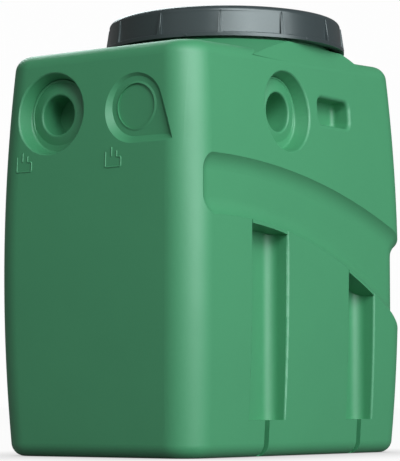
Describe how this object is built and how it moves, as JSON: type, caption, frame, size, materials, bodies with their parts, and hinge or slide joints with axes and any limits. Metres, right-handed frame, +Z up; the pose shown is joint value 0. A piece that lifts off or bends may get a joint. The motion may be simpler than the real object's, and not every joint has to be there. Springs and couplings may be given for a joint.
{
  "type": "wastewater pump tank",
  "caption": "Upright barrel-sided plastic tank for a waste water pump, with pipe sockets, an arched side band, anchor channels and a round ribbed screw lid.",
  "frame": {"origin": "middle of the base on the floor, below the middle of the overall box", "axes": "+X along the tank away from the inlet end, +Y towards the long side with no sockets, +Z up"},
  "size_m": [0.6997, 0.441, 0.788],
  "materials": {
    "tank_plastic": "smooth satin moulded polyethylene",
    "lid_plastic": "satin moulded plastic",
    "seal_rubber": "plain rubber"
  },
  "bodies": {
    "tank": {"floor": "tank_plastic", "inlet_wall": "tank_plastic", "inlet_socket": "tank_plastic", "knockout_panel": "tank_plastic", "far_wall": "tank_plastic", "inlet_corner_near": "tank_plastic", "inlet_corner_back": "tank_plastic", "far_corner_near": "tank_plastic", "far_corner_back": "tank_plastic", "near_upper_panel": "tank_plastic", "delivery_socket": "tank_plastic", "hand_pocket": "tank_plastic", "near_band": "tank_plastic", "near_panel_1": "tank_plastic", "near_channel_1": "tank_plastic", "near_panel_2": "tank_plastic", "near_channel_2": "tank_plastic", "near_panel_3": "tank_plastic", "back_upper_panel": "tank_plastic", "back_band": "tank_plastic", "back_panel_1": "tank_plastic", "back_channel_1": "tank_plastic", "back_panel_2": "tank_plastic", "back_channel_2": "tank_plastic", "back_panel_3": "tank_plastic", "deck_inlet": "tank_plastic", "deck_far": "tank_plastic", "shoulder": "tank_plastic", "neck": "tank_plastic"},
    "seal": {"lid_seal": "seal_rubber"},
    "lid": {"lid_plate": "lid_plastic", "lid_skirt": "lid_plastic", "lid_flange": "lid_plastic"}
  },
  "joints": [
    {"name": "lid_rise", "type": "slide", "parent": "tank", "child": "seal", "axis": [0, 0, 1], "range_m": [0, 0.018]},
    {"name": "lid_turn", "type": "hinge", "parent": "seal", "child": "lid", "pos_m": [0.052, 0, 0.75], "axis": [0, 0, 1], "range_deg": [0, 540]}
  ],
  "couplings": [
    {"joint": "lid_rise", "follows": "lid_turn", "m_per_rad": 0.0019099}
  ]
}
